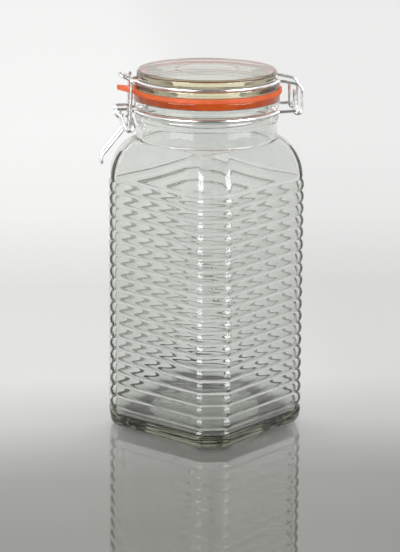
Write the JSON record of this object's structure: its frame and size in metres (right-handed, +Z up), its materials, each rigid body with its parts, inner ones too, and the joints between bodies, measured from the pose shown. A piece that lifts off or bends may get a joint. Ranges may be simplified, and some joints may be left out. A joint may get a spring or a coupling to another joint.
{
  "type": "bail clamp jar",
  "caption": "Square ribbed glass jar with a round mouth, a glass lid on a rubber gasket, and a bent wire bail clamp that hinges the lid and locks it with a lever.",
  "frame": {"origin": "centre of the jar's base, on the axis of the mouth, at the height of the surface it stands on", "axes": "+Z up along the axis of the mouth; +X from the axis towards the lid's hinge, so the latch and lever are at -X; the jar's flattened corners point along +-X and +-Y and its four faces stand at 45 degrees to them"},
  "size_m": [0.1302, 0.1246, 0.2335],
  "materials": {
    "jar_glass": "clear moulded glass with a faint grey green tint",
    "lid_glass": "clear pressed glass",
    "gasket_rubber": "matte orange natural rubber",
    "wire_steel": "bright drawn steel wire"
  },
  "bodies": {
    "jar": {"jar": "jar_glass", "neck_wire": "wire_steel"},
    "lid": {"lid": "lid_glass", "gasket": "gasket_rubber", "lid_wire": "wire_steel"},
    "lever": {"lever": "wire_steel"},
    "link": {"link": "wire_steel"}
  },
  "joints": [
    {"name": "lid_hinge", "type": "hinge", "parent": "jar", "child": "lid", "pos_m": [0.0567, 0, 0.2089], "axis": [0, 1, 0], "range_deg": [0, 100]},
    {"name": "lever_pivot", "type": "hinge", "parent": "jar", "child": "lever", "pos_m": [-0.056, 0, 0.2072], "axis": [0, 1, 0], "range_deg": [0, 150]},
    {"name": "link_pivot", "type": "hinge", "parent": "lever", "child": "link", "pos_m": [-0.0495, 0, 0.1986], "axis": [0, 1, 0], "range_deg": [-203, 0]}
  ],
  "couplings": [
    {"joint": "link_pivot", "follows": "lever_pivot", "ratio": -1.35}
  ]
}
